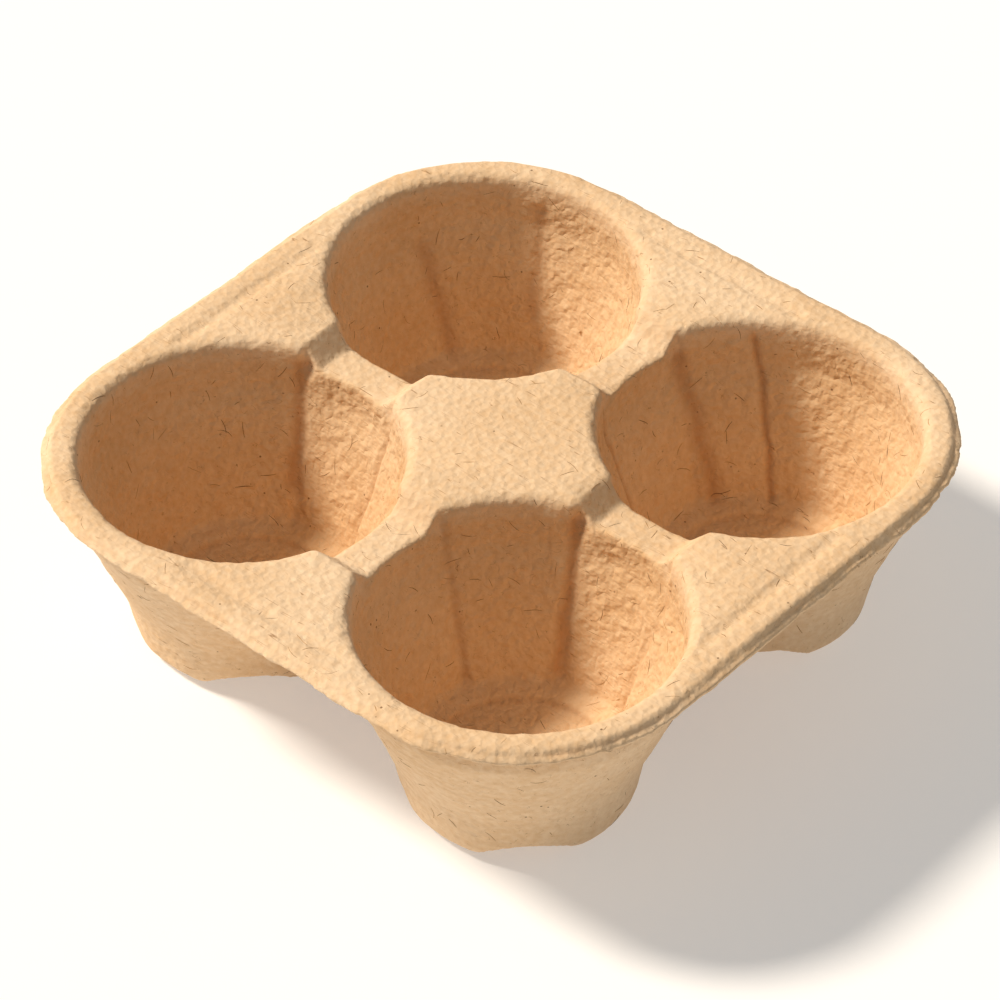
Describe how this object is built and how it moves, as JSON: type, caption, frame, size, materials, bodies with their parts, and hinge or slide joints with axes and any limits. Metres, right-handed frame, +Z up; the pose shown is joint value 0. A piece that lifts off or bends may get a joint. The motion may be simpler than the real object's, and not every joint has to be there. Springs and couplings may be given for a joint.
{
  "type": "cup carrier",
  "caption": "Moulded pulp drinks carrier: a rounded square tray with tapered cup pockets joined by low webs.",
  "frame": {"origin": "centre of the resting plane, under the middle of the tray", "axes": "+Z up out of the cup pockets; X and Y along the tray's straight sides; pockets lie on the diagonals"},
  "size_m": [0.215, 0.215, 0.064],
  "materials": {
    "pulp": "matte, fibrous"
  },
  "bodies": {
    "root": {"cup_carrier": "pulp"}
  },
  "joints": []
}
